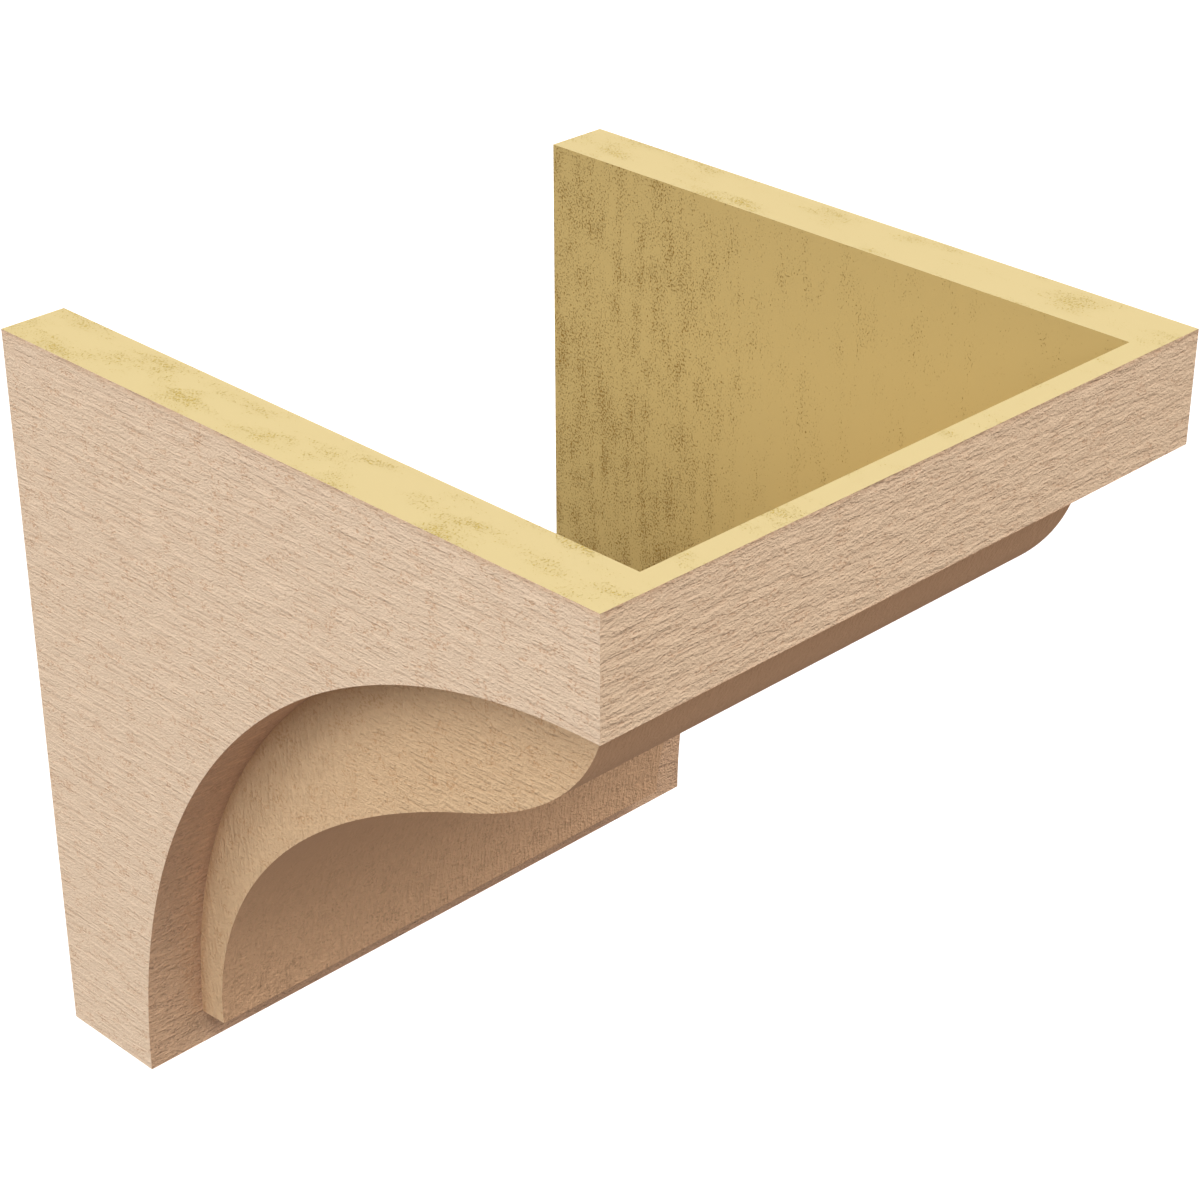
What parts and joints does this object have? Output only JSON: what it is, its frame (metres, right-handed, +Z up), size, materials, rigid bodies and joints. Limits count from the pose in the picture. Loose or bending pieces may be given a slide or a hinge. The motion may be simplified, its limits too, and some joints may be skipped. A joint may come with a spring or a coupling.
{
  "type": "corbel",
  "caption": "Hollow moulded corbel with coved sides and an ogee face under a plain front band, open at the top and the back.",
  "frame": {"origin": "on the wall plane, in the middle of the back edge of the bottom web, which is the wall mount", "axes": "+Y out of the corbel's back towards the wall, so the corbel reaches out towards -Y; +Z up; +X along the wall"},
  "size_m": [0.3048, 0.3048, 0.3048],
  "materials": {
    "primed_face": "matt tan primer on rigid foam with a fine sandblasted wood grain; the sawn top rim and the inside of the hollow are bare pale yellow foam"
  },
  "bodies": {
    "root": {"corbel": "primed_face"}
  },
  "joints": []
}
